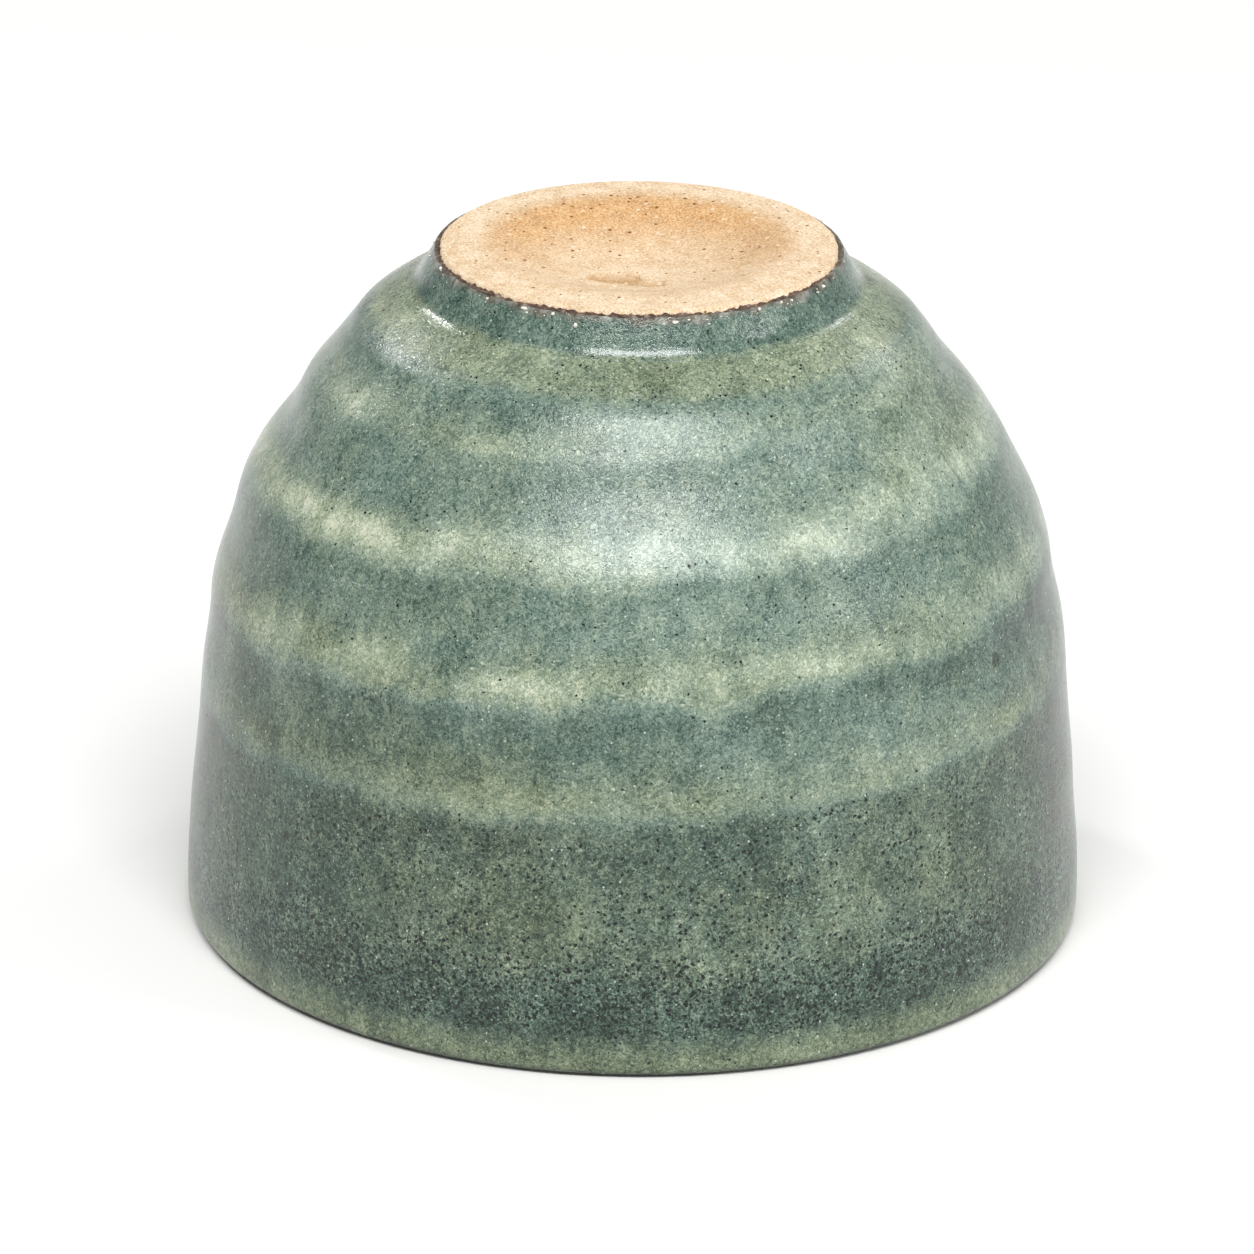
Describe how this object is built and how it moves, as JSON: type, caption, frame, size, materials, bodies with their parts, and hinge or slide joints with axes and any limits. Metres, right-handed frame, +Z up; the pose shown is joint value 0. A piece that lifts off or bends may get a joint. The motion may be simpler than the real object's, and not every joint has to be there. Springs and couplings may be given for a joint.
{
  "type": "cup",
  "caption": "Small thrown stoneware cup in a blue-green ash glaze with finger ridges and a bare trimmed foot, stored mouth down.",
  "frame": {"origin": "centre of the circle that the lip stands on, at the bottom of the part as stored", "axes": "+Z up along the cup's axis, from the mouth to the foot, because the cup is stored mouth down as in the picture; -Y towards the picture's camera. For use the cup is turned over about X"},
  "size_m": [0.0679, 0.0678, 0.0525],
  "materials": {
    "bare_clay": "matt, fine-grogged buff stoneware with a toasted flush",
    "ash_glaze": "satin blue-green ash glaze, paler over the ridges, with fine pores",
    "thin_lip_glaze": "thin satin olive glaze",
    "inside_glaze": "gloss blue-green ash glaze",
    "iron_edge": "rough dark brown edge of the glaze"
  },
  "bodies": {
    "root": {"clay_body": "bare_clay", "outer_glaze": "ash_glaze", "lip_glaze": "thin_lip_glaze", "inner_glaze": "inside_glaze", "foot_edge_line": "iron_edge"}
  },
  "joints": []
}
